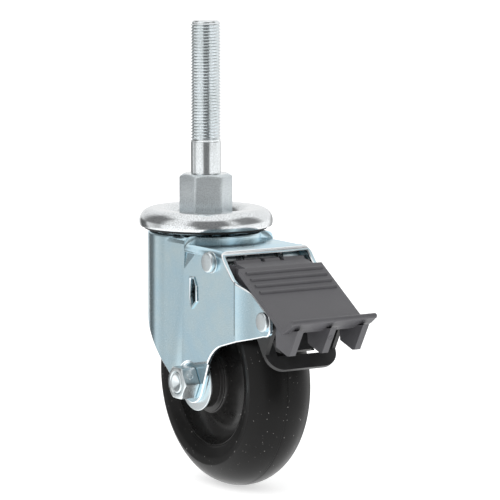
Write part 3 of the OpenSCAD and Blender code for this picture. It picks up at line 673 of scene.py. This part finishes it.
def lipBead():
    # Rounded rim along the pedal's front lip
    values = {"out": 24.1, "up": 2.55, "radius": 1.25, "half": 22.1, "round": 0.6}
    v = values
    half = [(0, v["half"]), (v["radius"], v["half"], v["round"]), (v["radius"], 0), (0, 0)]
    side = lathe(rounded(half), "Y", (place["pivotX"] + v["out"], place["pivotZ"] + v["up"]), 24)
    return joined([side, mirrored(side)])


def dimpleSlope():
    # The pressed dimple beside the slanted front wall slopes out to the side wall
    values = {"wall": -24.0, "floor": -23.2, "corner": (20.5, -32.7), "back": (29.7, -33.1),
              "low": (20.4, -40.7)}
    v = values
    points = [(v["corner"][0], v["floor"], v["corner"][1])]
    for x, z in (v["back"], v["low"]):
        points += [(x, v["wall"], z), (x, v["floor"], z)]
    return meshFrom(points, [[0, 1, 3], [0, 2, 1], [0, 3, 4], [1, 2, 4, 3], [0, 4, 2]])


def creaseShadeStrip():
    # Narrow strip of painted shade set into the side wall where it starts to bend in towards the lug
    values = {"x": 63.4, "width": 0.6, "wall": -24.0, "proud": 0.02, "depth": 0.5, "top": -41.6,
              "bottom": -66.4}
    v = values
    alongX = (v["x"], v["x"] + v["width"])
    acrossY = (v["wall"] - v["proud"], v["wall"] + v["depth"])
    box = [(x, y, z) for x in alongX for y in acrossY for z in (v["top"], v["bottom"])]
    return meshFrom(box, [[0, 1, 3, 2], [4, 6, 7, 5], [0, 4, 5, 1],
                          [2, 3, 7, 6], [0, 2, 6, 4], [1, 5, 7, 3]])


def forkEdgeHighlightAndCreaseShade(piece):
    # Rounded edges with a painted highlight wherever the sheet's edges are clear of the front walls, and
    # painted shade on the strips along the folds
    values = {
        "sharp": 30.0, "clearX": 31.0, "clearZ": -72.0,  # clear behind this x, or under this z
        "slotX": (21.5, 31.0), "slotZ": (-66.0, -42.0), "slotShare": 0.6,  # the lance slot is rounded less
        "shadeStripX": (63.2, 64.2), "wall": 24.0, "wallNear": 0.03, "shadeStripArea": 2e-5,
    }
    v = values

    def within(distance, limits):
        return limits[0] * mm < distance < limits[1] * mm

    piece.data.materials.append(edgeHighlightSteel)
    piece.data.materials.append(creaseShadeSteel)
    bevel = piece.modifiers["softEdges"]
    # the rounded edges take the painted highlight
    bevel.material, bevel.use_clamp_overlap, bevel.limit_method = 1, False, "WEIGHT"
    weights = piece.data.attributes.new("bevel_weight_edge", "FLOAT", "EDGE")
    shape = bmesh.new()
    shape.from_mesh(piece.data)
    shape.edges.ensure_lookup_table()
    for edge in shape.edges:
        ends = [vert.co for vert in edge.verts]
        sharp = len(edge.link_faces) == 2 and edge.calc_face_angle(0) > math.radians(v["sharp"])
        clear = all(end.x > v["clearX"] * mm or end.z < v["clearZ"] * mm for end in ends)
        slot = all(within(end.x, v["slotX"]) and within(end.z, v["slotZ"]) for end in ends)
        weights.data[edge.index].value = 1.0 if sharp and clear else v["slotShare"] if sharp and slot else 0.0
    shape.free()
    # the strips along the folds take the painted shade
    for polygon in piece.data.polygons:
        onWall = abs(abs(polygon.center.y) - v["wall"] * mm) < v["wallNear"] * mm
        if onWall and within(polygon.center.x, v["shadeStripX"]) and polygon.area < v["shadeStripArea"]:
            polygon.material_index = 2


def makeFormed():
    # Pressed and moulded pieces are finished on the solids' own faces
    edges = {  # name, rounding of the edges, angle from which an edge is shaded sharp
        "fork": ("forkShell", 0.5, 20.0), "lock_ring": ("lockRing", 0.2, 32.0),
        "lock_lever": ("lockLever", 0.2, 32.0), "pedal_cover": ("pedalCover", 0.3, 32.0),
        "brake_lever": ("brakeLever", 0.3, 32.0), "brake_shoe": ("brakeShoe", 0.3, 32.0),
    }
    for node, (name, width, sharp) in edges.items():
        mesh = cleanCopy(node)
        if node == "pedal_cover":
            mesh = joined([mesh, ejectorMark(), lipBead()])
        if node == "fork":
            foldsAndShadeStrips = [dimpleSlope(), mirrored(dimpleSlope()), creaseShadeStrip(), mirrored(creaseShadeStrip())]
            mesh = joined([mesh] + foldsAndShadeStrips)
        piece = softEdges(addPiece(name, mesh, node, sharp), width)
        if node == "fork":
            forkEdgeHighlightAndCreaseShade(piece)
    for node in ("upper_balls", "lower_balls", "lower_race", "axle_sleeve", "hub_bushes"):
        mesh = nodeOf[node].data  # plain round pieces stay as the solids are
        mesh.materials.clear()
        mesh.materials.append(finish[slotOf[node]])


makeFormed()
print("formed pieces ready")


def makeFloor():
    values = {"z": -142.2, "half": 9000.0, "colour": (0.7, 0.7, 0.7), "rough": 0.9, "glow": 0.6}
    material, tree, shader = startMaterial("paleFloor")
    shader.inputs["Base Color"].default_value = (*values["colour"], 1)
    shader.inputs["Roughness"].default_value = values["rough"]
    shader.inputs["Specular IOR Level"].default_value = 0.0
    shader.inputs["Emission Color"].default_value = (1, 1, 1, 1)
    shader.inputs["Emission Strength"].default_value = values["glow"]
    half, z = values["half"] * mm, values["z"] * mm
    mesh = bpy.data.meshes.new("floor")
    corners = [(-half, -half, z), (half, -half, z), (half, half, z), (-half, half, z)]
    mesh.from_pydata(corners, [], [(0, 1, 2, 3)])
    floor = bpy.data.objects.new("floor", mesh)
    mesh.materials.append(material)
    bpy.context.scene.collection.objects.link(floor)
    floor.visible_glossy = False  # polished parts mirror the studio below instead


def makeSoftbox():
    values = {"turn": -40.0, "height": 1300.0, "distance": 1100.0, "size": 1200.0, "power": 7.0}
    v = values
    data = bpy.data.lights.new("softbox", "AREA")
    data.shape, data.size, data.energy = "SQUARE", v["size"] * mm, v["power"]
    light = bpy.data.objects.new("softbox", data)
    light.location = (turnedFromCamera(v["turn"]) * v["distance"] + Vector((0, 0, v["height"]))) * mm
    light.rotation_mode = "QUATERNION"
    light.rotation_quaternion = (-light.location).to_track_quat("-Z", "Y")
    light.visible_camera = light.visible_glossy = False
    bpy.context.scene.collection.objects.link(light)


def makeWorld():
    # A white room; polished parts see its white panels, the dark gaps between them and the ceiling.
    # Each panel list holds (degrees round from the camera, brightness). The tops are where one band
    # gives way to the next, as the sine of the height over level.
    values = {
        "room": 1.0, "ceiling": 1.0, "ground": 1.4,
        "level": [(-180, 1.0), (-158, 1.0), (-152, 0.12), (-125, 0.12), (-121, 0.78), (-112, 0.8),
                  (-99, 0.6), (-86, 0.5), (-80, 1.1), (-22, 1.1), (-15, 0.2), (26, 0.2), (31, 1.1),
                  (140, 1.1), (150, 0.5), (166, 0.4), (176, 1.0), (180, 1.0)],
        "above": [(-180, 0.95), (-145, 0.8), (-124, 0.2), (-84, 0.2), (-68, 0.95), (-36, 0.95),
                  (-22, 0.22), (38, 0.22), (52, 0.95), (66, 0.25), (104, 0.25), (120, 0.95), (180, 0.95)],
        "levelTop": (0.0, 0.12), "aboveTop": (0.72, 0.88), "groundTop": (-0.5, -0.28),
    }
    world = bpy.data.worlds.new("studio")
    world.use_nodes = True
    tree = world.node_tree
    background = tree.nodes["Background"]
    coords = tree.nodes.new("ShaderNodeTexCoord")
    path = tree.nodes.new("ShaderNodeLightPath")
    parts = tree.nodes.new("ShaderNodeSeparateXYZ")
    tree.links.new(coords.outputs["Generated"], parts.inputs[0])

    def along(direction):
        node = tree.nodes.new("ShaderNodeVectorMath")
        node.operation = "DOT_PRODUCT"
        node.inputs[1].default_value = direction
        tree.links.new(coords.outputs["Generated"], node.inputs[0])
        return node.outputs["Value"]

    angle = tree.nodes.new("ShaderNodeMath")
    angle.operation = "ARCTAN2"
    tree.links.new(along(turnedFromCamera(90)), angle.inputs[0])
    tree.links.new(along(turnedFromCamera(0)), angle.inputs[1])
    share = tree.nodes.new("ShaderNodeMapRange")
    share.inputs["From Min"].default_value, share.inputs["From Max"].default_value = -math.pi, math.pi
    tree.links.new(angle.outputs[0], share.inputs["Value"])

    def panels(key):
        stops = [((turn + 180) / 360, shade) for turn, shade in values[key]]
        return ramp(tree, share.outputs["Result"], stops)

    def plain(shade):
        node = tree.nodes.new("ShaderNodeRGB")
        node.outputs[0].default_value = (shade, shade, shade, 1)
        return node.outputs[0]

    def blend(low, high, limits):
        node = tree.nodes.new("ShaderNodeMapRange")
        node.interpolation_type = "SMOOTHSTEP"
        node.inputs["From Min"].default_value, node.inputs["From Max"].default_value = limits
        tree.links.new(parts.outputs["Z"], node.inputs["Value"])
        return mixed(tree, "MIX", node.outputs["Result"], low, high)

    seen = blend(panels("level"), panels("above"), values["levelTop"])
    seen = blend(seen, plain(values["ceiling"]), values["aboveTop"])
    seen = blend(plain(values["ground"]), seen, values["groundTop"])
    room = mixed(tree, "MIX", path.outputs["Is Camera Ray"], plain(values["room"]), plain(1.0))
    colour = mixed(tree, "MIX", path.outputs["Is Glossy Ray"], room, seen)
    tree.links.new(colour, background.inputs["Color"])
    world.cycles.sampling_method = "NONE"
    bpy.context.scene.world = world
    bpy.context.scene.view_settings.view_transform = "Standard"


makeFloor()
makeSoftbox()
makeWorld()
print("studio ready")
